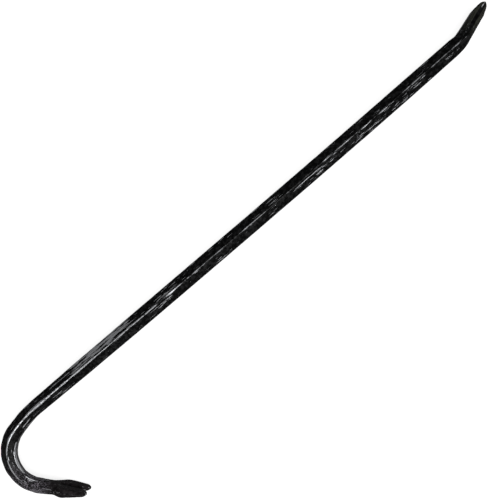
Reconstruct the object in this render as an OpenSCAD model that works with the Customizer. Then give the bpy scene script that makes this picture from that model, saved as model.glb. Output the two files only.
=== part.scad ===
// Gooseneck pry bar, forged in one piece from a hexagonal steel bar.
//
// The bar lies on its side. The straight shank runs along X, with its axis on the
// X axis and the origin at the middle of its length. The gooseneck and the nail
// claw are at the -X end and curl towards -Y. The chisel is at the +X end and is
// cranked towards +Y. Both bends lie in the XY plane, and the part is the same
// above and below it. The hexagon has a corner at the top and one at the bottom,
// so its flats face the inside and the outside of the bends.
//
// Along a forged end, a cross-section is an outline of points [n, z]: n is measured
// from the centreline towards the inside of the bend, and z is the height.

/* [Shank] */
// Hexagon's size across its flats
shank_flats = 19; // [16:0.5:24]
// Length of the straight stretch from the gooseneck's drawn-down neck to the chisel
shank_length = 558; // [300:1:700]
// How far back from each corner of the stock its rounding starts
corner_round = 0.9; // [0.4:0.1:1.4]

/* [Gooseneck] */
// Size across the flats where the bar has been drawn down
neck_flats = 15; // [12:0.5:18]
// Straight length over which drawing down begins, before the bend
neck_lead = 68; // [30:1:100]
// Length along the centreline over which the bar is drawn down
neck_draw = 160; // [90:1:165]
// Radius of the slack first arc
slack_radius = 138; // [100:1:180]
// Angle of the slack first arc
slack_angle = 16.5; // [10:0.5:25]
// Radius of the tight second arc
hook_radius = 40.5; // [34:0.5:60]
// Angle of the tight second arc
hook_angle = 117; // [90:1:125]

/* [Claw] */
// Length of the claw past the end of the bend
claw_length = 54.5; // [48:0.5:70]
// Width across the two tines
claw_width = 37; // [32:0.5:46]
// Distance past the bend at which the bar starts to spread
flare_start = 11; // [6:0.5:14]
// Length over which it spreads to the full width
flare_length = 19; // [14:0.5:24]
// Thickness where the spreading starts
claw_root_thickness = 14; // [11:0.5:15]
// Thickness at the tips of the tines
claw_tip_thickness = 4; // [2.4:0.1:5]
// How far the tips lie towards the inside of the bend from the centreline
claw_tip_set = -0.1; // [-1:0.1:2]
// Radius of the rounded end of each tine
tine_round = 6; // [5:0.1:6.4]

/* [Nail slot] */
// Length of the slot from its round root to the tips
slot_length = 34; // [26:0.5:38]
// Width of the slot at its mouth
slot_mouth = 11.5; // [8:0.5:12]
// Width of the slot at its root
slot_root = 3.6; // [2.4:0.2:4.5]

/* [Chisel] */
// Straight length between the full-size shank and the crank
crank_lead = 3.5; // [0:0.5:20]
// Angle of the crank between shank and blade
crank_angle = 17.5; // [10:0.5:25]
// Length of the bend between shank and blade
crank_length = 12.5; // [8:0.5:30]
// Thickness where the bend ends and the blade starts
crank_thickness = 15.6; // [13:0.1:19]
// Length of the blade past the bend
blade_length = 43; // [38:0.5:60]
// Thickness of the blade where its end bevel starts
blade_thickness = 13.2; // [10:0.1:15]
// Length of the end bevel
bevel_length = 11.5; // [8:0.5:16]
// Thickness of the blunt edge
edge_thickness = 6.5; // [3:0.1:7]
// Width of the blade at its edge
blade_width = 23; // [22:0.5:32]
// Width of the hollow that hammering leaves along each narrow side of the blade
hollow_width = 5; // [3:0.5:6]
// Depth of that hollow
hollow_depth = 1.2; // [0.2:0.1:2]
// Length over which the ridge opens into the hollow
hollow_start = 16; // [8:1:30]

/* [Hidden] */

// Number of steps along each curved stretch
arc_steps = 26;
flare_steps = 14;
draw_steps = 6;
crank_steps = 8;
blade_steps = 10;
tip_steps = 5;
fine = 96;

shank_end = shank_length / 2;
half_corner = shank_flats / 2 / cos(30);
narrow_flat = corner_round / 2;

slack_length = slack_radius * slack_angle * PI / 180;
hook_length = hook_radius * hook_angle * PI / 180;
bend_start = neck_lead;
hook_start = bend_start + slack_length;
claw_start = hook_start + hook_length;
hook_total = claw_start + claw_length;
full_turn = slack_angle + hook_angle;
slot_root_at = claw_length - slot_length + slot_root / 2;

blade_start = crank_lead + crank_length;
chisel_total = blade_start + blade_length;
crank_radius = crank_length / (crank_angle * PI / 180);

// ---- small helpers -----------------------------------------------------------

function ramp(x, x0, x1) = max(0, min(1, (x - x0) / (x1 - x0)));
function ease(t) = t * t * (3 - 2 * t);
function mix(a, b, t) = a + (b - a) * t;
function unit(v) = v / norm(v);
function spread(a, b, n) = [for (i = [1 : n]) mix(a, b, i / n)];

// Travel along an arc of radius r, turning left from heading h0 to heading h1
function arc_travel(r, h0, h1) = r * [sin(h1) - sin(h0), cos(h0) - cos(h1)];

// Three points in place of corner b, between its neighbours a and c
function soft_corner(a, b, c, r) =
    let (
        start = b + unit(a - b) * min(r, 0.4 * norm(a - b)),
        end = b + unit(c - b) * min(r, 0.4 * norm(c - b))
    )
    [start, (start + 2 * b + end) / 4, end];

function soft_outline(pts, r) =
    let (n = len(pts))
    [for (i = [0 : n - 1]) each soft_corner(pts[(i + n - 1) % n], pts[i], pts[(i + 1) % n], r)];

// Cross-section with two broad flats and two narrow ones, the hexagon's own corners
// being very narrow flats. It reaches n = inner on one side and n = -outer on the
// other; broad and high are the half heights of the broad flats and of the whole.
// The middle of each narrow flat can lie deeper, by hollow.
function bar_outline(inner, outer, broad, high, narrow, hollow = 0, r = corner_round) =
    let (mid = (inner - outer) / 2, floor = high - hollow)
    soft_outline([
        [inner, -broad], [inner, broad],
        [mid + narrow, high], if (hollow > 0) [mid, floor], [mid - narrow, high],
        [-outer, broad], [-outer, -broad],
        [mid - narrow, -high], if (hollow > 0) [mid, -floor], [mid + narrow, -high]
    ], r);

// Hexagon of the given size across its flats, with worn corners
function hex_outline(flats) =
    let (high = flats / 2 / cos(30))
    bar_outline(flats / 2, flats / 2, high / 2, high - narrow_flat * tan(30), narrow_flat);

// Places a cross-section on a centreline point with the given heading
function place(outline, at, heading) =
    [for (p = outline) [at.x - p[0] * sin(heading), at.y + p[0] * cos(heading), p[1]]];

// Closed solid through a list of cross-sections that all have the same point count
module loft(sections) {
    n = len(sections[0]);
    last = len(sections) - 1;
    points = [for (s = sections) each s];
    sides = [
        for (i = [0 : last - 1], j = [0 : n - 1])
            let (a = i * n + j, b = i * n + (j + 1) % n)
            each [[a, a + n, b], [b, a + n, b + n]]
    ];
    start_cap = [for (j = [1 : n - 2]) [0, j, j + 1]];
    end_cap = [for (j = [1 : n - 2]) last * n * [1, 1, 1] + [0, j + 1, j]];
    polyhedron(points, concat(start_cap, sides, end_cap), convexity = 6);
}

// ---- gooseneck and claw ------------------------------------------------------

function hook_heading(s) =
    slack_angle * ramp(s, bend_start, hook_start) + hook_angle * ramp(s, hook_start, claw_start);

function hook_point(s) =
    let (h = hook_heading(s))
    [min(s, bend_start), 0]
        + arc_travel(slack_radius, 0, min(h, slack_angle))
        + arc_travel(hook_radius, slack_angle, max(h, slack_angle))
        + max(0, s - claw_start) * [cos(full_turn), sin(full_turn)];

// Size across the flats while the bar is drawn down
function drawn_flats(s) = mix(shank_flats, neck_flats, ramp(s, 0, neck_draw));

function hook_outline(s) =
    s <= claw_start ? hex_outline(drawn_flats(s)) : claw_outline(s - claw_start);

// Cross-section of the claw at distance t past the bend. It thins in a wedge from
// the bend to the tips, while it spreads over the flare.
function claw_outline(t) =
    let (
        thin = ramp(t, 0, flare_start),
        wedge = ramp(t, flare_start, claw_length),
        wide = ease(ramp(t, flare_start, flare_start + flare_length)),
        tip = ramp(t, claw_length - claw_tip_thickness, claw_length),
        thickness = mix(mix(neck_flats, claw_root_thickness, thin), claw_tip_thickness, wedge)
            * mix(1, 0.45, tip * tip),
        neck_high = neck_flats / 2 / cos(30),
        centre = mix(-(neck_flats - claw_root_thickness) / 2 * thin, claw_tip_set, wedge),
        high = mix(neck_high - narrow_flat * tan(30), claw_width / 2, wide),
        broad = mix(neck_high / 2, claw_width / 2 - 2, wide),
        narrow = min(narrow_flat, thickness / 6)
    )
    bar_outline(centre + thickness / 2, thickness / 2 - centre, broad, high, narrow);

hook_stations = concat(
    [0],
    spread(0, bend_start, draw_steps),
    spread(bend_start, hook_start, draw_steps),
    spread(hook_start, claw_start, arc_steps),
    spread(claw_start, claw_start + flare_start, 3),
    spread(claw_start + flare_start, claw_start + flare_start + flare_length, flare_steps),
    spread(claw_start + flare_start + flare_length, hook_total - claw_tip_thickness, 4),
    spread(hook_total - claw_tip_thickness, hook_total, tip_steps)
);

// The claw's plan is seen square to its broad faces: x runs from the end of the bend
// towards the tips, and y across the bar.
module on_claw() {
    at = hook_point(claw_start);
    translate([at.x, at.y, 0])
        rotate([90, 0, full_turn])
            linear_extrude(2 * neck_flats, center = true) children();
}

// Half width of the nail slot at distance x past the end of the bend
function slot_half(x) = mix(slot_root, slot_mouth, ramp(x, slot_root_at, claw_length)) / 2;

// V-shaped nail slot with a round root
module nail_slot_plan() {
    translate([slot_root_at, 0])
        circle(d = slot_root, $fn = fine);
    polygon([
        [slot_root_at, -slot_root / 2], [claw_length, -slot_mouth / 2], [claw_length + 1, 0],
        [claw_length, slot_mouth / 2], [slot_root_at, slot_root / 2]
    ]);
}

// What is dressed off around the tips to leave each tine a round end, touching the
// slot's flank on one side and the claw's tapering edge on the other
module tip_waste_plan() {
    back = flare_start + flare_length;
    round_at = claw_length - tine_round;
    flank_angle = atan((slot_mouth - slot_root) / 2 / (claw_length - slot_root_at));
    tine_mid = slot_half(round_at) + tine_round / cos(flank_angle);
    difference() {
        translate([back, -claw_width])
            square([claw_length - back + 1, 2 * claw_width]);
        for (side = [-1, 1]) {
            polygon([
                [back - 1, 0], [back - 1, side * (claw_width / 2 + 1)],
                [round_at, side * (tine_mid + tine_round)], [round_at, 0]
            ]);
            translate([round_at, side * tine_mid])
                circle(r = tine_round, $fn = fine);
        }
    }
}

module gooseneck_and_claw() {
    difference() {
        loft([for (s = hook_stations) place(hook_outline(s), hook_point(s), hook_heading(s))]);
        on_claw() nail_slot_plan();
        on_claw() tip_waste_plan();
    }
}

// ---- chisel ------------------------------------------------------------------

function chisel_heading(s) = crank_angle * ramp(s, crank_lead, blade_start);

function chisel_point(s) =
    [min(s, crank_lead), 0]
        + arc_travel(crank_radius, 0, chisel_heading(s))
        + max(0, s - blade_start) * [cos(crank_angle), sin(crank_angle)];

// The blade thins slowly to the end bevel, then quickly to a blunt, rounded edge
function chisel_outline(s) =
    let (
        first = ramp(s, 0, blade_start),
        slow = ramp(s, blade_start, chisel_total - bevel_length),
        fast = ramp(s, chisel_total - bevel_length, chisel_total),
        tip = ramp(s, chisel_total - edge_thickness / 2, chisel_total),
        before_bevel = mix(mix(shank_flats, crank_thickness, first), blade_thickness, slow),
        thickness = mix(before_bevel, edge_thickness, fast) * sqrt(1 - 0.85 * tip * tip),
        wide = ease(ramp(s, blade_start, chisel_total)),
        open = ease(ramp(s, crank_lead, crank_lead + hollow_start)),
        high = mix(half_corner - narrow_flat * tan(30), blade_width / 2, wide),
        broad = mix(half_corner / 2, blade_width / 2 - 2, wide),
        narrow = min(mix(narrow_flat, hollow_width / 2, open), thickness / 4),
        hollow = mix(0.02, hollow_depth, open) * min(1, thickness / blade_thickness)
    )
    bar_outline(thickness / 2, thickness / 2, broad, high, narrow, hollow);

chisel_stations = concat(
    [0],
    spread(0, crank_lead, 2),
    spread(crank_lead, blade_start, crank_steps),
    spread(blade_start, chisel_total - bevel_length, blade_steps),
    spread(chisel_total - bevel_length, chisel_total - edge_thickness / 2, 4),
    spread(chisel_total - edge_thickness / 2, chisel_total, tip_steps)
);

module chisel() {
    loft([for (s = chisel_stations)
        place(chisel_outline(s), chisel_point(s), chisel_heading(s))]);
}

// ---- the whole bar -----------------------------------------------------------

module shank() {
    rotate([90, 0, 90])
        translate([0, 0, -shank_end])
            linear_extrude(shank_length) polygon(hex_outline(shank_flats));
}

module forged_bar() {
    color([0.07, 0.07, 0.075]) {
        shank();
        translate([-shank_end, 0, 0])
            rotate([0, 0, 180]) gooseneck_and_claw();
        translate([shank_end, 0, 0]) chisel();
    }
}

forged_bar();
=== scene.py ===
"""Looks of the forged gooseneck pry bar.

The bar is one forging, so one piece stands for the CAD node. Its surface is built
here as a fine quad mesh: cross-sections of a worn hexagonal bar are swept along the
centreline of the CAD design, split into two tines at the claw and drawn out flat at
the chisel, then dented and pitted a little as a hammered bar is.

All lengths in this file are metres. The bar lies on its side: X runs along the shank
towards the chisel, the gooseneck curls towards -Y, and Z is square to both bends.
"""

import math

import bmesh
import bpy
import numpy as np
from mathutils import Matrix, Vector, noise


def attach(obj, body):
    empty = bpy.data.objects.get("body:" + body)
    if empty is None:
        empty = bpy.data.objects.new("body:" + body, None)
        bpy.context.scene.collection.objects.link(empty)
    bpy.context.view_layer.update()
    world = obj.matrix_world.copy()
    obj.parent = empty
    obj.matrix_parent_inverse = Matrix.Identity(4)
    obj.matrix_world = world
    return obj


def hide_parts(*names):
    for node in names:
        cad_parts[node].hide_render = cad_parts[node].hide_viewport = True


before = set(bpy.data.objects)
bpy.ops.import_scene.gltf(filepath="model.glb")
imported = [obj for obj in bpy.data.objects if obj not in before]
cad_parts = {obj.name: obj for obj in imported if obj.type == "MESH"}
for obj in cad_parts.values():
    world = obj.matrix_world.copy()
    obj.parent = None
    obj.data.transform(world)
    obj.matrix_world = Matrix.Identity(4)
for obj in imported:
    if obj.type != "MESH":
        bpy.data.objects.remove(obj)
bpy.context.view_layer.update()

MM = 0.001
NODE = "forged_bar"

# ---- driving dimensions, the same as the CAD design's ---------------------------

SHANK_FLATS = 19 * MM
SHANK_LENGTH = 558 * MM
NECK_FLATS = 15 * MM
NECK_LEAD = 68 * MM
NECK_DRAW = 160 * MM
SLACK_RADIUS = 138 * MM
SLACK_ANGLE = math.radians(16.5)
HOOK_RADIUS = 40.5 * MM
HOOK_ANGLE = math.radians(117)
CLAW_LENGTH = 54.5 * MM
CLAW_WIDTH = 37 * MM
FLARE_START = 11 * MM
FLARE_LENGTH = 19 * MM
CLAW_ROOT_THICKNESS = 14 * MM
CLAW_TIP_THICKNESS = 4 * MM
CLAW_TIP_SET = -0.1 * MM
TINE_ROUND = 6 * MM
SLOT_LENGTH = 34 * MM
SLOT_MOUTH = 11.5 * MM
SLOT_ROOT = 3.6 * MM
CRANK_LEAD = 3.5 * MM
CRANK_ANGLE = math.radians(17.5)
CRANK_LENGTH = 12.5 * MM
CRANK_THICKNESS = 15.6 * MM
BLADE_LENGTH = 43 * MM
BLADE_THICKNESS = 13.2 * MM
BEVEL_LENGTH = 11.5 * MM
EDGE_THICKNESS = 6.5 * MM
BLADE_WIDTH = 23 * MM
HOLLOW_WIDTH = 5 * MM
HOLLOW_DEPTH = 1.2 * MM
HOLLOW_START = 16 * MM

# ---- how the real bar differs from the design -----------------------------------

# It is a touch bent: its middle lies low and its ends rise, towards +Y
BOW_AT = 30 * MM
BOW_LOW = 0.8 * MM
BOW_RISE_HOOK = 1.2 * MM
BOW_RISE_CHISEL = 1.8 * MM

# The rolled stock is a hair thick at mid shank and thin at both ends, and the bend
# swelled a little as it was hammered round
MID_THICK = 0.45 * MM
END_THIN = 0.25 * MM
END_TAPER = 90 * MM
BEND_SWELL = 1.0 * MM
BEND_SWELL_AT = 118 * MM    # from the end of the full-size shank
BEND_SWELL_REACH = 45 * MM
FINISH_BUILD = 0.27 * MM    # paint and forge scale on top of the steel

# Worn corners are a little rounder than the design's
CORNER_ROUND = 1.0 * MM
CORNER_FLAT = 0.35 * MM
SIDE_SLOPE = 2 * MM         # from a broad face's edge to the side of claw and blade
SLOT_EDGE_ROUND = 1.0 * MM
TINE_TAPER_AFTER = 6 * MM   # from the end of the flare to where the tines narrow
TINE_TIP_THINNING = 0.45    # thickness left at the very tip of a tine
EDGE_ROUNDING = 0.93        # 1 would round the chisel's edge to nothing

# Spacing of the cross-sections, and how many faces lie across each part of one
STEP = 1.15 * MM
FACES_ON_FLAT = 7
FACES_ON_FACET = 6
FACES_ON_CORNER = 4
FACES_ON_RIDGE = 4
FACES_ON_FLANK = 8
WELD_WITHIN = 0.004 * MM

SLACK_LENGTH = SLACK_RADIUS * SLACK_ANGLE
HOOK_LENGTH = HOOK_RADIUS * HOOK_ANGLE
HOOK_START = NECK_LEAD + SLACK_LENGTH
CLAW_START = HOOK_START + HOOK_LENGTH
HOOK_TOTAL = CLAW_START + CLAW_LENGTH
FULL_TURN = SLACK_ANGLE + HOOK_ANGLE
SLOT_ROOT_AT = CLAW_LENGTH - SLOT_LENGTH + SLOT_ROOT / 2
BLADE_START = CRANK_LEAD + CRANK_LENGTH
CHISEL_TOTAL = BLADE_START + BLADE_LENGTH
CRANK_RADIUS = CRANK_LENGTH / CRANK_ANGLE


# ---- small helpers --------------------------------------------------------------

def ramp(x, x0, x1):
    return max(0.0, min(1.0, (x - x0) / (x1 - x0)))


def ease(t):
    return t * t * (3 - 2 * t)


def mix(a, b, t):
    return a + (b - a) * t


def bump(x, middle, reach):
    """1 at middle, falling smoothly to 0 at reach on either side."""
    return ease(max(0.0, 1 - abs(x - middle) / reach))


# ---- centreline and cross-sections ----------------------------------------------

def arc_travel(radius, h0, h1):
    """Travel along an arc that turns left from heading h0 to heading h1."""
    return radius * np.array([math.sin(h1) - math.sin(h0), math.cos(h0) - math.cos(h1)])


def hook_place(s):
    """Point and heading of the centreline, s along it from the full-size shank."""
    slack, hook = ramp(s, NECK_LEAD, HOOK_START), ramp(s, HOOK_START, CLAW_START)
    heading = SLACK_ANGLE * slack + HOOK_ANGLE * hook
    point = np.array([min(s, NECK_LEAD), 0.0])
    point += arc_travel(SLACK_RADIUS, 0, min(heading, SLACK_ANGLE))
    point += arc_travel(HOOK_RADIUS, SLACK_ANGLE, max(heading, SLACK_ANGLE))
    point += max(0.0, s - CLAW_START) * np.array([math.cos(FULL_TURN), math.sin(FULL_TURN)])
    return point, heading


def chisel_place(s):
    heading = CRANK_ANGLE * ramp(s, CRANK_LEAD, BLADE_START)
    point = np.array([min(s, CRANK_LEAD), 0.0])
    point += arc_travel(CRANK_RADIUS, 0, heading)
    point += max(0.0, s - BLADE_START) * np.array([math.cos(CRANK_ANGLE), math.sin(CRANK_ANGLE)])
    return point, heading


class Section:
    """The upper half of a cross-section: two broad faces, two sloping facets that
    meet at the top ridge, and where the nail slot is, the slot's flank.

    inner and outer are how far the broad faces lie from the centreline, broad and high
    how far up their edges and the ridge are, narrow the ridge's half width, low where
    the section starts above the bend plane, and hollow how deep the ridge is hollowed."""

    def __init__(self, inner, outer, broad, high, narrow, low=0.0, flank_round=0.0, hollow=0.0):
        self.inner, self.outer = inner, outer
        self.broad, self.high, self.narrow, self.hollow = broad, high, narrow, hollow
        self.low, self.flank_round = low, flank_round


def hexagon(flats):
    corner = flats / 2 / math.cos(math.radians(30))
    high = corner - CORNER_FLAT * math.tan(math.radians(30))
    return Section(flats / 2, flats / 2, corner / 2, high, CORNER_FLAT)


def stock_flats(x):
    """Width of the rolled bar across its flats, at x along the shank."""
    from_end = SHANK_LENGTH / 2 - abs(x)
    return SHANK_FLATS + mix(-END_THIN, MID_THICK, ease(ramp(from_end, 0, END_TAPER)))


def slot_half(t):
    """Half width of the nail slot at distance t past the end of the bend."""
    root = SLOT_ROOT / 2
    if t < SLOT_ROOT_AT:
        return math.sqrt(max(0.0, root ** 2 - (SLOT_ROOT_AT - t) ** 2))
    return mix(root, SLOT_MOUTH / 2, ramp(t, SLOT_ROOT_AT, CLAW_LENGTH))


def claw_section(t):
    thin = ramp(t, 0, FLARE_START)
    wedge = ramp(t, FLARE_START, CLAW_LENGTH)
    wide = ease(ramp(t, FLARE_START, FLARE_START + FLARE_LENGTH))
    tip = ramp(t, CLAW_LENGTH - CLAW_TIP_THICKNESS, CLAW_LENGTH)
    neck = hexagon(NECK_FLATS)
    thickness = mix(mix(NECK_FLATS, CLAW_ROOT_THICKNESS, thin), CLAW_TIP_THICKNESS, wedge)
    thickness *= mix(1, TINE_TIP_THINNING, tip ** 2)
    centre = mix(-(NECK_FLATS - CLAW_ROOT_THICKNESS) / 2 * thin, CLAW_TIP_SET, wedge)
    high = mix(neck.high, CLAW_WIDTH / 2, wide)
    low = slot_half(t)
    # The tine's outer edge tapers from the widest point to its round tip
    round_at = CLAW_LENGTH - TINE_ROUND
    middle = slot_half(round_at) + TINE_ROUND
    taper = ramp(t, FLARE_START + FLARE_LENGTH + TINE_TAPER_AFTER, round_at)
    if taper > 0:
        high = min(high, mix(CLAW_WIDTH / 2, middle + TINE_ROUND, taper))
    if t > round_at:
        reach = math.sqrt(max(0.0, TINE_ROUND ** 2 - (t - round_at) ** 2))
        high = min(high, middle + reach)
        low = max(low, middle - reach)
    edge = min(SIDE_SLOPE, 0.3 * (high - low))
    broad = min(mix(neck.broad, CLAW_WIDTH / 2 - SIDE_SLOPE, wide), high - edge)
    narrow = min(CORNER_FLAT, thickness / 8)
    flank_round = min(SLOT_EDGE_ROUND, 0.25 * thickness, low, 0.3 * (high - low))
    inner, outer = centre + thickness / 2, thickness / 2 - centre
    return Section(inner, outer, broad, high, narrow, low, flank_round)


def hook_section(s):
    if s > CLAW_START:
        return claw_section(s - CLAW_START)
    flats = mix(stock_flats(SHANK_LENGTH / 2), NECK_FLATS, ramp(s, 0, NECK_DRAW))
    return hexagon(flats + BEND_SWELL * bump(s, BEND_SWELL_AT, BEND_SWELL_REACH))


def chisel_section(s):
    bevel_at = CHISEL_TOTAL - BEVEL_LENGTH
    shank = stock_flats(SHANK_LENGTH / 2)
    thickness = mix(shank, CRANK_THICKNESS, ramp(s, 0, BLADE_START))
    thickness = mix(thickness, BLADE_THICKNESS, ramp(s, BLADE_START, bevel_at))
    thickness = mix(thickness, EDGE_THICKNESS, ramp(s, bevel_at, CHISEL_TOTAL))
    tip = ramp(s, CHISEL_TOTAL - EDGE_THICKNESS / 2, CHISEL_TOTAL)
    thickness *= math.sqrt(1 - EDGE_ROUNDING * tip * tip)
    wide = ease(ramp(s, BLADE_START, CHISEL_TOTAL))
    opened = ease(ramp(s, CRANK_LEAD, CRANK_LEAD + HOLLOW_START))
    stock = hexagon(shank)
    high = mix(stock.high, BLADE_WIDTH / 2, wide)
    broad = mix(stock.broad, BLADE_WIDTH / 2 - SIDE_SLOPE, wide)
    narrow = min(mix(CORNER_FLAT, HOLLOW_WIDTH / 2, opened), thickness / 4)
    hollow = HOLLOW_DEPTH * opened * min(1, thickness / BLADE_THICKNESS)
    return Section(thickness / 2, thickness / 2, broad, high, narrow, hollow=hollow)


def span(a, b, count):
    """count points from a up to, but not including, b."""
    return [a + (b - a) * i / count for i in range(count)]


def corner_points(a, b, c, radius, count):
    """count + 1 points round corner b, between its neighbours a and c."""
    start = b + (a - b) * min(radius / np.linalg.norm(a - b), 0.45)
    end = b + (c - b) * min(radius / np.linalg.norm(c - b), 0.45)
    points = []
    for i in range(count + 1):
        t = i / count
        points.append((1 - t) ** 2 * start + 2 * t * (1 - t) * b + t ** 2 * end)
    return points


def section_points(sec):
    """Points [n, z] from the inner face's low edge, over the ridge, to the outer
    face's low edge, then the flank back to the start. Every section gives the same
    count, so that points of neighbouring sections match."""
    mid = (sec.inner - sec.outer) / 2
    inner_low, outer_low = np.array([sec.inner, sec.low]), np.array([-sec.outer, sec.low])
    inner_edge, outer_edge = np.array([sec.inner, sec.broad]), np.array([-sec.outer, sec.broad])
    top_in = np.array([mid + sec.narrow, sec.high])
    top_out = np.array([mid - sec.narrow, sec.high])
    r = CORNER_ROUND
    around = [
        corner_points(inner_low, inner_edge, top_in, r, FACES_ON_CORNER),
        corner_points(inner_edge, top_in, top_out, r, FACES_ON_RIDGE),
        corner_points(top_in, top_out, outer_edge, r, FACES_ON_RIDGE),
        corner_points(top_out, outer_edge, outer_low, r, FACES_ON_CORNER),
    ]
    fr = sec.flank_round
    lift = np.array([0.0, fr])
    start, stop = inner_low + lift, outer_low + lift
    points = span(start, around[0][0], FACES_ON_FLAT) + around[0]
    points = points[:-1] + span(around[0][-1], around[1][0], FACES_ON_FACET) + around[1]
    points = points[:-1] + span(around[1][-1], around[2][0], FACES_ON_RIDGE) + around[2]
    points = points[:-1] + span(around[2][-1], around[3][0], FACES_ON_FACET) + around[3]
    points = points[:-1] + span(around[3][-1], stop, FACES_ON_FLAT) + [stop]
    for p in points:
        across = (p[0] - mid) / sec.narrow
        if p[1] > sec.broad and abs(across) < 1:
            p[1] -= sec.hollow * (1 - across ** 2)
    # The flank, with its two edges eased
    inset = np.array([fr, 0.0])
    eased_out = outer_low + 0.3 * (lift + inset)
    eased_in = inner_low + 0.3 * (lift - inset)
    flank = [eased_out] + span(outer_low + inset, inner_low - inset, FACES_ON_FLANK - 4)
    flank += [inner_low - inset, eased_in]
    return np.array(points), np.array(flank)


def bow(x):
    """How far the bent bar stands off a straight one, towards +Y."""
    half = SHANK_LENGTH / 2
    end, rise = (half, BOW_RISE_CHISEL) if x > BOW_AT else (-half, BOW_RISE_HOOK)
    t = (x - BOW_AT) / (end - BOW_AT)
    return (rise * t * t if t < 1 else rise * (2 * t - 1)) - BOW_LOW


# ---- cross-sections along the whole bar -----------------------------------------

class Station:
    """One cross-section in place: where it is, which way its inner side faces, how
    far along the bar it is (0 at mid shank, positive towards the chisel)."""

    def __init__(self, point, heading, section, along, slotted=False):
        self.point = np.array([point[0], point[1], 0.0])
        self.inward = np.array([math.sin(heading), -math.cos(heading), 0.0])
        self.section, self.along, self.slotted = section, along, slotted


def steps_between(a, b, step):
    count = max(1, round((b - a) / step))
    return [a + (b - a) * i / count for i in range(count)]


def chisel_station(s):
    point, heading = chisel_place(s)
    end = np.array([SHANK_LENGTH / 2, 0.0])
    return Station(end + point, heading, chisel_section(s), SHANK_LENGTH / 2 + s)


def hook_station(s, slotted=False):
    point, heading = hook_place(s)
    end = np.array([-SHANK_LENGTH / 2, 0.0])
    return Station(end - point, heading, hook_section(s), -SHANK_LENGTH / 2 - s, slotted)


def bar_stations():
    """From the chisel's edge to the claw's tips."""
    half = SHANK_LENGTH / 2
    edge_turn = [EDGE_THICKNESS / 2 * math.sin(math.radians(a)) for a in (75, 55, 35, 15)]
    chisel_at = [CHISEL_TOTAL] + [CHISEL_TOTAL - EDGE_THICKNESS / 2 + e for e in edge_turn]
    chisel_at += steps_between(0, CHISEL_TOTAL - EDGE_THICKNESS / 2, STEP)[::-1]
    stations = [chisel_station(s) for s in chisel_at]
    stations += [Station([-x, 0], 0, hexagon(stock_flats(x)), -x)
                 for x in steps_between(-half, half, STEP)[1:]]

    root = SLOT_ROOT / 2
    first = CLAW_START + SLOT_ROOT_AT - root
    round_at = HOOK_TOTAL - TINE_ROUND
    stations += [hook_station(s) for s in steps_between(0, first, STEP)]
    turns = range(0, 90, 10)
    slot_at = [CLAW_START + SLOT_ROOT_AT - root * math.cos(math.radians(a)) for a in turns]
    slot_at += steps_between(CLAW_START + SLOT_ROOT_AT, round_at, STEP)
    slot_at += [round_at + TINE_ROUND * math.sin(math.radians(a)) for a in range(0, 81, 8)]
    slot_at += [round_at + TINE_ROUND * math.sin(math.radians(84))]
    return stations + [hook_station(s, slotted=True) for s in slot_at]


# ---- the mesh -------------------------------------------------------------------

def build_half():
    """Vertices and faces of the half above the bend plane. Along with each vertex
    go its straightened place (along, inward, up), its distances to the ridge and to
    the other long corners, and whether it lies in the hollow of the blade's side."""
    verts, faces, straight, to_ridge, to_corner, in_hollow = [], [], [], [], [], []
    previous = None
    for station in bar_stations():
        sec = station.section
        outside, flank = section_points(sec)
        points = np.vstack([outside, flank]) if station.slotted else outside
        base = len(verts)
        mid = (sec.inner - sec.outer) / 2
        corners = [np.array([sec.inner, sec.broad]), np.array([-sec.outer, sec.broad])]
        for n, z in points:
            vert = station.point + n * station.inward + np.array([0, 0, z])
            vert[1] += bow(vert[0])
            verts.append(vert)
            straight.append((station.along, n, z))
            to_ridge.append(math.hypot(max(0.0, abs(n - mid) - sec.narrow), sec.high - z))
            to_corner.append(min(math.hypot(*(np.array([n, z]) - c)) for c in corners))
            across = abs(n - mid) / sec.narrow
            opened = min(1, sec.hollow / HOLLOW_DEPTH)
            in_hollow.append(opened * max(0, 1 - across ** 2) if z > sec.broad else 0.0)
        count, outer_count = len(points), len(outside)
        if previous is not None:
            before, both_slotted = previous
            pairs = [(j, j + 1) for j in range(outer_count - 1)]
            if both_slotted and station.slotted:
                pairs += [(j, j + 1) for j in range(outer_count - 1, count - 1)]
                pairs.append((count - 1, 0))
            for j, k in pairs:
                faces.append((before + j, before + k, base + k, base + j))
        else:
            faces.append(tuple(range(base, base + outer_count)))
        previous = (base, station.slotted)
    faces.append(tuple(range(base, base + count))[::-1])
    measures = {"to_ridge": to_ridge, "to_corner": to_corner, "hollow": in_hollow}
    return verts, faces, straight, measures


def build_bar():
    """The whole bar as one closed mesh, with its measures as mesh attributes."""
    verts, faces, straight, measures = build_half()
    count = len(verts)
    flip = np.array([1, 1, -1])
    all_verts = [tuple(v) for v in verts] + [tuple(v * flip) for v in verts]
    all_faces = faces + [tuple(count + i for i in reversed(f)) for f in faces]
    mesh = bpy.data.meshes.new("pry_bar")
    mesh.from_pydata(all_verts, [], all_faces)
    place = mesh.attributes.new("straight", "FLOAT_VECTOR", "POINT")
    place.data.foreach_set("vector", np.vstack([straight, np.array(straight) * flip]).ravel())
    for name, values in measures.items():
        mesh.attributes.new(name, "FLOAT", "POINT").data.foreach_set("value", values + values)

    bm = bmesh.new()
    bm.from_mesh(mesh)
    bmesh.ops.remove_doubles(bm, verts=bm.verts, dist=WELD_WITHIN)
    bmesh.ops.dissolve_degenerate(bm, edges=bm.edges, dist=WELD_WITHIN)
    bmesh.ops.recalc_face_normals(bm, faces=bm.faces)
    bm.to_mesh(mesh)
    bm.free()
    mesh.update()
    return mesh


# ---- hammering, dents and nicks -------------------------------------------------

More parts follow.
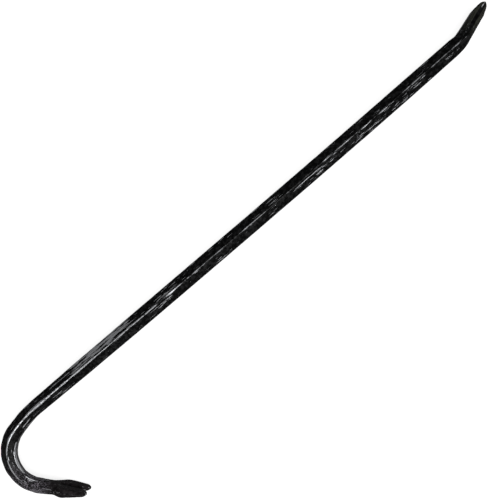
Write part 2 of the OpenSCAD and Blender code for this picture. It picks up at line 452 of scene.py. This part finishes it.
FORGED_FROM_HOOK = 300 * MM     # distance from mid shank where the hammered ends begin
FORGED_FROM_CHISEL = 272 * MM
FORGED_BLEND = 60 * MM
KNOCK_WIDTH = 1.6 * MM          # how far from a corner its knocks reach
RIDGE_KNOCKS = 0.28 * MM        # depth of the knocks along the ridge
CORNER_KNOCKS = 0.22 * MM
HAMMER_MARKS = 0.30 * MM        # broad hammer marks, and the finer ones between them
FINE_MARKS = 0.13 * MM
ROLLING_WAVES = 0.06 * MM       # long, shallow waves of the rolled stock


def forged_amount(along):
    """1 on the hammered ends of the bar, 0 on the plain rolled shank."""
    hook = ease(ramp(-along, FORGED_FROM_HOOK, FORGED_FROM_HOOK + FORGED_BLEND))
    chisel = ease(ramp(along, FORGED_FROM_CHISEL, FORGED_FROM_CHISEL + FORGED_BLEND / 2))
    return max(hook, chisel)


def wave(place, size, seed):
    """Smooth noise of about -1 to 1 with features of the given size."""
    return noise.noise(Vector(place) / size + Vector((seed, 2.3 * seed, 0.7 * seed)))


def surface_change(point, along, ridge, corner):
    """How far the surface stands off the ideal shape at a point, in metres. ridge and
    corner are its distances to the ridge and to the nearest other long corner."""
    forged = forged_amount(along)
    change = HAMMER_MARKS * wave(point, 15 * MM, 1) + FINE_MARKS * wave(point, 6 * MM, 2)
    change = forged * change + ROLLING_WAVES * wave((along / 6, point[1], point[2]), 8 * MM, 3)
    # Knocks along the ridge and the other long corners
    for distance, seed, depth in ((ridge, 5, RIDGE_KNOCKS), (corner, 9, CORNER_KNOCKS)):
        close = math.exp(-(distance / KNOCK_WIDTH) ** 2)
        if close > 0.02:
            knock = wave((along, 0.2 * point[1], 0.2 * point[2]), 5 * MM, seed)
            change -= depth * close * ease(ramp(knock, 0.05, 0.55))
    return FINISH_BUILD + change


def read_attribute(mesh, name, width):
    values = np.empty(len(mesh.vertices) * width)
    field = "vector" if width == 3 else "value"
    mesh.attributes[name].data.foreach_get(field, values)
    return values.reshape(-1, width) if width > 1 else values


def hammer(mesh):
    count = len(mesh.vertices)
    points, normals = np.empty(count * 3), np.empty(count * 3)
    mesh.vertices.foreach_get("co", points)
    mesh.vertex_normals.foreach_get("vector", normals)
    points, normals = points.reshape(-1, 3), normals.reshape(-1, 3)
    along = read_attribute(mesh, "straight", 3)[:, 0]
    ridge, corner = read_attribute(mesh, "to_ridge", 1), read_attribute(mesh, "to_corner", 1)
    change = [surface_change(p, a, r, c) for p, a, r, c in zip(points, along, ridge, corner)]
    points += normals * np.array(change)[:, None]
    mesh.vertices.foreach_set("co", points.ravel())
    mesh.update()


# ---- where the finish is worn ---------------------------------------------------

# Rubbed patches: place along the bar from mid shank, half length, degrees round the
# bar from its inside flat (0) over the upper ridge (90) to its outside flat (180), how
# many degrees to either side, amount
RUBBED = (
    (-0.248, 0.066, 122, 38, 1.00),
    (-0.165, 0.040, 112, 38, 0.42),
    (-0.335, 0.045, 62, 38, 0.22),
    (-0.372, 0.014, 50, 24, 0.55),
    (-0.424, 0.030, 24, 15, 1.40),
    (-0.455, 0.012, 40, 20, 0.60),
    (0.002, 0.020, 98, 38, 0.45),
    (0.085, 0.030, 70, 38, 0.32),
    (0.142, 0.034, 64, 38, 0.56),
    (0.198, 0.030, 66, 38, 0.26),
    (-0.120, 0.090, -62, 38, 0.60),
    (0.190, 0.060, -118, 38, 0.70),
    (-0.010, 0.120, 178, 38, 0.60),
    (0.070, 0.090, -4, 38, 0.50),
    (-0.300, 0.060, -176, 38, 0.60),
)

# How brightly the ridge is polished: place along the bar from mid shank, amount
RIDGE_POLISH = ((-0.470, 0.12), (-0.445, 0.22), (-0.425, 0.34), (-0.402, 0.40), (-0.388, 1.15),
                (-0.345, 1.25), (-0.315, 0.62), (-0.240, 0.42), (-0.130, 0.36), (-0.100, 0.24),
                (0.060, 0.20), (0.130, 0.26), (0.280, 0.26), (0.300, 0.28), (0.310, 0.12))

# Forge scale, by distance from the end of the full-size shank: a trace of it on the
# drawn-down neck, and a full coat past the bend
TRACE_OF_SCALE = 0.03
SCALE_TRACE_FROM, SCALE_TRACE_TO = 20 * MM, 80 * MM
SCALE_FULL_FROM, SCALE_FULL_TO = 140 * MM, 174 * MM
CLAW_LOOK_FROM, CLAW_LOOK_TO = 2 * MM, 16 * MM      # from the end of the bend
BLADE_LOOK_OVER = 24 * MM                           # from the start of the blade


def round_the_bar(inward, up):
    return math.degrees(math.atan2(up, inward))


def apart(a, b):
    return abs((a - b + 180) % 360 - 180)


def add_wear(mesh):
    """Mesh attributes that say where the finish is rubbed, polished or scaled."""
    straight = read_attribute(mesh, "straight", 3)
    polish_at, polish_of = zip(*RIDGE_POLISH)
    names = ("rubbed", "polish", "scaled", "claw", "blade")
    values = {name: [] for name in names}
    for along, inward, up in straight:
        turn = round_the_bar(inward, up)
        rub = 0.0
        for middle, reach, facing, spread, amount in RUBBED:
            close = bump(along, middle, 1.4 * reach)
            close *= bump(apart(turn, facing), 0, 1.4 * spread)
            rub = max(rub, amount * min(1, 1.3 * close))
        hook = -along - SHANK_LENGTH / 2
        chisel = along - SHANK_LENGTH / 2
        claw = ease(ramp(hook, CLAW_START + CLAW_LOOK_FROM, CLAW_START + CLAW_LOOK_TO))
        blade = ease(ramp(chisel, BLADE_START, BLADE_START + BLADE_LOOK_OVER))
        scaled = TRACE_OF_SCALE * ease(ramp(hook, SCALE_TRACE_FROM, SCALE_TRACE_TO))
        scaled += (1 - TRACE_OF_SCALE) * ease(ramp(hook, SCALE_FULL_FROM, SCALE_FULL_TO))
        values["rubbed"].append(rub)
        values["polish"].append(float(np.interp(along, polish_at, polish_of)))
        values["scaled"].append(scaled * (1 - claw))
        values["claw"].append(claw)
        values["blade"].append(blade)
    for name in names:
        mesh.attributes.new(name, "FLOAT", "POINT").data.foreach_set("value", values[name])


# ---- material -------------------------------------------------------------------

class Graph:
    """Short names for building a node material."""

    def __init__(self, name):
        self.material = bpy.data.materials.new(name)
        self.material.use_nodes = True
        self.tree = self.material.node_tree
        self.tree.nodes.clear()

    def add(self, kind, inputs=None, **settings):
        node = self.tree.nodes.new(kind)
        for key, value in settings.items():
            setattr(node, key, value)
        for key, value in (inputs or {}).items():
            if isinstance(value, bpy.types.NodeSocket):
                self.tree.links.new(value, node.inputs[key])
            else:
                node.inputs[key].default_value = value
        return node

    def measure(self, name, output="Fac"):
        return self.add("ShaderNodeAttribute", attribute_name=name).outputs[output]

    def calc(self, operation, a, b=0.0):
        return self.add("ShaderNodeMath", {0: a, 1: b}, operation=operation).outputs[0]

    def times(self, *factors):
        product = factors[0]
        for factor in factors[1:]:
            product = self.calc("MULTIPLY", product, factor)
        return product

    def plus(self, *terms):
        total = terms[0]
        for term in terms[1:]:
            total = self.calc("ADD", total, term)
        return total

    def most(self, *values):
        largest = values[0]
        for value in values[1:]:
            largest = self.calc("MAXIMUM", largest, value)
        return largest

    def swing(self, noise, amount):
        """Noise of 0 to 1 turned into -amount/2 to amount/2."""
        return self.calc("MULTIPLY", self.calc("SUBTRACT", noise, 0.5), amount)

    def stretch(self, vector, scale):
        inputs = {0: vector, 1: scale}
        return self.add("ShaderNodeVectorMath", inputs, operation="MULTIPLY").outputs[0]

    def noise(self, vector, size, detail=4.0, roughness=0.55, distortion=0.0):
        """Noise of 0 to 1 with features of the given size in metres."""
        return self.add("ShaderNodeTexNoise", {
            "Vector": vector, "Scale": 1 / size, "Detail": detail,
            "Roughness": roughness, "Distortion": distortion,
        }).outputs["Fac"]

    def band(self, value, low, high, out_low=0.0, out_high=1.0):
        """Smooth step of value from low to high, given as out_low to out_high."""
        return self.add("ShaderNodeMapRange", {
            "Value": value, "From Min": low, "From Max": high,
            "To Min": out_low, "To Max": out_high,
        }, interpolation_type="SMOOTHSTEP").outputs["Result"]

    def blend(self, factor, a, b):
        """Mix of two numbers."""
        return self.add("ShaderNodeMix", {0: factor, 2: a, 3: b}, data_type="FLOAT").outputs[0]

    def tint(self, factor, a, b):
        """Mix of two colours."""
        return self.add("ShaderNodeMix", {0: factor, 6: a, 7: b}, data_type="RGBA").outputs[2]

    def finish(self, shader):
        output = self.add("ShaderNodeOutputMaterial")
        self.tree.links.new(shader, output.inputs["Surface"])
        return self.material


BLACKED = (0.0020, 0.0020, 0.0021, 1)       # the black finish
BLACKED_WORN = (0.0070, 0.0070, 0.0073, 1)  # where it is thin
SCALE_GREY = (0.215, 0.195, 0.225, 1)       # forge scale on the gooseneck
BLADE_GREY = (0.032, 0.033, 0.026, 1)       # dull chisel faces
CLAW_GREY = (0.0190, 0.0160, 0.0170, 1)     # thin, dull finish of the claw
STEEL = (0.53, 0.54, 0.56, 1)               # bare rubbed steel

# Size of each kind of mark, and how its noise is scaled along the bar and across it:
# less than 1 along the bar draws the marks out lengthwise
SCRATCH_WIDTH, SCRATCH_STRETCH = 1.5 * MM, (0.05, 1.0, 1.0)
FINE_WIDTH, FINE_STRETCH = 0.7 * MM, (0.07, 1.0, 1.0)
PATCH_SIZE, PATCH_STRETCH = 8 * MM, (0.4, 1.0, 1.0)
SPECK_SIZE, SPECK_STRETCH = 0.9 * MM, (0.75, 1.0, 1.0)
BEAT_LENGTH, BEAT_STRETCH = 30 * MM, (1.0, 0.02, 0.02)
MOTTLE_SIZE = 4.0 * MM
GRAIN_SIZE = 0.7 * MM

POLISHED_WIDTH = 1.7 * MM         # the bare line along the ridge, where it is broadest
SOFT_EDGE = (0.1 * MM, 0.4 * MM)  # over which bare metal fades into the finish
CORNER_WEAR = 0.30                # how bare the other corners get
STREAK_LEVEL = (0.745, 0.790)     # above which a streak is through the finish
STREAK_BARENESS = 0.95
BARE_METALLIC = 0.78              # rubbed steel keeps some dull film


def forged_steel():
    g = Graph("forged_steel")
    place = g.measure("straight", "Vector")
    ridge, corner = g.measure("to_ridge"), g.measure("to_corner")
    rubbed, polish = g.measure("rubbed"), g.measure("polish")
    scaled, claw, blade = g.measure("scaled"), g.measure("claw"), g.measure("blade")
    hollow = g.measure("hollow")

    # Long scratches and streaks lie along the bar; specks and mottling have no direction
    scratches = g.noise(g.stretch(place, SCRATCH_STRETCH), SCRATCH_WIDTH, 2, 0.55)
    fine_scratches = g.noise(g.stretch(place, FINE_STRETCH), FINE_WIDTH, 2, 0.5)
    patches = g.noise(g.stretch(place, PATCH_STRETCH), PATCH_SIZE, 3, 0.55)
    mottle = g.noise(place, MOTTLE_SIZE, 4, 0.6)
    specks = g.noise(g.stretch(place, SPECK_STRETCH), SPECK_SIZE, 2, 0.6)
    grain = g.noise(place, GRAIN_SIZE, 3, 0.6)

    # Bare steel along the ridge: a thin line, wide and narrow by turns
    beat = g.noise(g.stretch(place, BEAT_STRETCH), BEAT_LENGTH, 5, 0.68)
    width = g.times(g.band(beat, 0.36, 0.64, 0.25, 1.0), polish, POLISHED_WIDTH)
    on_ridge = g.plus(width, g.times(ridge, -1.0), g.swing(scratches, 1.5 * MM),
                      g.swing(mottle, 0.8 * MM))
    on_ridge = g.times(g.band(on_ridge, *SOFT_EDGE), g.band(polish, 0.1, 0.9, 0.30, 1.0),
                       g.band(hollow, 0.05, 0.3, 1.0, 0.0))
    on_corner = g.plus(g.swing(scratches, 2.2 * MM), g.swing(mottle, 1.8 * MM),
                       g.times(corner, -1.0))
    on_corner = g.times(g.band(on_corner, 0.0, SOFT_EDGE[1]), CORNER_WEAR)

    # Rubbed patches break up into streaks along the bar
    streaky = g.plus(g.times(scratches, 0.60), g.times(fine_scratches, 0.40))
    level = g.plus(streaky, g.times(rubbed, 0.16), g.times(patches, 0.24))
    rub = g.times(g.band(level, *STREAK_LEVEL), STREAK_BARENESS)
    bare = g.most(on_ridge, on_corner, rub)

    # Finish: near black, thinner in blotches, with grey scale on the gooseneck, dull
    # grey faces on the chisel beside the black hollow, and a brownish, brushed claw
    finish = g.tint(g.band(mottle, 0.45, 0.65), BLACKED, BLACKED_WORN)
    scale = g.times(g.band(specks, 0.52, 0.58), g.band(mottle, 0.36, 0.52, 0.15, 1.0), scaled)
    finish = g.tint(scale, finish, SCALE_GREY)
    dull = g.times(blade, g.band(streaky, 0.36, 0.60, 0.2, 1.0),
                   g.band(hollow, 0.0, 0.35, 1.0, 0.0), g.band(corner, 0.3 * MM, 2.5 * MM))
    finish = g.tint(dull, finish, BLADE_GREY)
    brushed = g.plus(g.times(scratches, 0.5), g.times(mottle, 0.5))
    finish = g.tint(g.times(claw, g.band(brushed, 0.40, 0.60, 0.25, 1.0)), finish, CLAW_GREY)

    paint_rough = g.plus(0.38, g.swing(mottle, 0.7), g.times(scaled, 0.15), g.times(claw, 0.32),
                         g.times(hollow, 0.4))
    steel_rough = g.plus(g.band(on_ridge, 0.5, 1.0, 0.38, 0.28), g.swing(fine_scratches, 0.4))

    rough_ends = g.most(scaled, g.times(claw, 0.45), g.times(blade, 0.35))
    relief = g.plus(g.times(g.swing(specks, 1.0), g.band(rough_ends, 0, 1, 0.08, 0.55)),
                    g.swing(grain, 0.10), g.times(bare, -0.05))
    bump_node = g.add("ShaderNodeBump", {"Strength": 1.0, "Distance": 1 * MM, "Height": relief})

    sheen = g.times(g.band(mottle, 0.42, 0.62, 0.07, 0.17),
                    g.band(hollow, 0.0, 0.4, 1.0, 0.25), g.band(claw, 0, 1, 1.0, 0.45))
    surface = g.add("ShaderNodeBsdfPrincipled", {
        "Base Color": g.tint(bare, finish, STEEL),
        "Metallic": g.times(bare, BARE_METALLIC),
        "Roughness": g.blend(bare, paint_rough, steel_rough),
        "Specular IOR Level": sheen,
        "Normal": bump_node.outputs[0],
    })
    return g.finish(surface.outputs[0])


def make_bar():
    mesh = build_bar()
    hammer(mesh)
    add_wear(mesh)
    mesh.shade_smooth()
    mesh.materials.append(forged_steel())
    bar = bpy.data.objects.new("pry_bar", mesh)
    bpy.context.scene.collection.objects.link(bar)
    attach(bar, "root")
    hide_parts(NODE)
    return bar


# ---- floor, light and camera ----------------------------------------------------

FLOOR_SIZE = 40.0
FLOOR_GLOW = 0.84          # the floor is lit from below, as the camera sees it
FLOOR_SHADE = 0.30         # how much of the softbox and its shadows shows on it
FLOOR_BOUNCE = 0.55        # reflectance of the floor for the light that reaches the bar
FLOOR_MOTTLE = 0.02        # how much the floor's shade varies, over about 0.3 m
FLOOR_GAP = 0.1 * MM       # how far the floor lies below the design's claw
ROOM_DIM = 0.04            # the room where it lights the bar
ROOM_PALE = 0.86           # the room where the camera sees it past the floor
SOFTBOX_SIZE = 1.5
SOFTBOX_AT = (-0.05, -0.40, 1.5)
SOFTBOX_POWER = 32
CAMERA_AT = (-0.0520, -0.0280, 0.792)
CAMERA_TURN = math.radians(-40.69)
CAMERA_LENS = 49.89
CAMERA_SHIFT = (-0.0116, 0.0126)


def grey(value):
    return (value, value, value, 1)


def make_floor(height):
    mesh = bpy.data.meshes.new("floor")
    half = FLOOR_SIZE / 2
    mesh.from_pydata([(-half, -half, height), (half, -half, height), (half, half, height),
                      (-half, half, height)], [], [(0, 1, 2, 3)])
    g = Graph("floor")
    seen = g.add("ShaderNodeLightPath").outputs["Is Camera Ray"]
    shade = g.noise(g.add("ShaderNodeTexCoord").outputs["Object"], 0.3, 2, 0.5)
    pale = g.tint(shade, grey(FLOOR_SHADE), grey(FLOOR_SHADE + FLOOR_MOTTLE))
    bounce = grey(FLOOR_BOUNCE)
    surface = g.add("ShaderNodeBsdfPrincipled", {
        "Base Color": g.tint(seen, bounce, pale), "Roughness": 0.9, "Specular IOR Level": 0.1,
        "Emission Color": (1, 1, 1, 1), "Emission Strength": g.times(seen, FLOOR_GLOW)})
    mesh.materials.append(g.finish(surface.outputs[0]))
    floor = bpy.data.objects.new("floor", mesh)
    bpy.context.scene.collection.objects.link(floor)


def make_light():
    light = bpy.data.lights.new("softbox", "AREA")
    light.shape, light.size = "SQUARE", SOFTBOX_SIZE
    light.energy = SOFTBOX_POWER
    softbox = bpy.data.objects.new("softbox", light)
    softbox.location = SOFTBOX_AT
    aim = Vector((CAMERA_AT[0], CAMERA_AT[1], 0)) - Vector(SOFTBOX_AT)
    softbox.rotation_euler = aim.to_track_quat("-Z", "Y").to_euler()
    bpy.context.scene.collection.objects.link(softbox)

    # The room: dim where it lights the bar, pale where the camera sees past the floor
    world = bpy.data.worlds.new("studio")
    world.use_nodes = True
    tree = world.node_tree
    tree.nodes.clear()
    output = tree.nodes.new("ShaderNodeOutputWorld")
    dim = tree.nodes.new("ShaderNodeBackground")
    pale = tree.nodes.new("ShaderNodeBackground")
    dim.inputs["Color"].default_value = grey(ROOM_DIM)
    pale.inputs["Color"].default_value = grey(ROOM_PALE)
    seen = tree.nodes.new("ShaderNodeLightPath")
    choose = tree.nodes.new("ShaderNodeMixShader")
    tree.links.new(seen.outputs["Is Camera Ray"], choose.inputs[0])
    tree.links.new(dim.outputs[0], choose.inputs[1])
    tree.links.new(pale.outputs[0], choose.inputs[2])
    tree.links.new(choose.outputs[0], output.inputs["Surface"])
    bpy.context.scene.world = world


def make_camera():
    data = bpy.data.cameras.new("camera")
    data.lens, data.sensor_width, data.sensor_fit = CAMERA_LENS, 36, "AUTO"
    data.shift_x, data.shift_y = CAMERA_SHIFT
    data.clip_start, data.clip_end = 0.01, 50
    camera = bpy.data.objects.new("camera", data)
    camera.location = CAMERA_AT
    camera.rotation_euler = (0, 0, CAMERA_TURN)
    bpy.context.scene.collection.objects.link(camera)
    bpy.context.scene.camera = camera


make_bar()
make_floor(-CLAW_WIDTH / 2 - FLOOR_GAP)
make_light()
make_camera()
bpy.context.scene.view_settings.view_transform = "Standard"
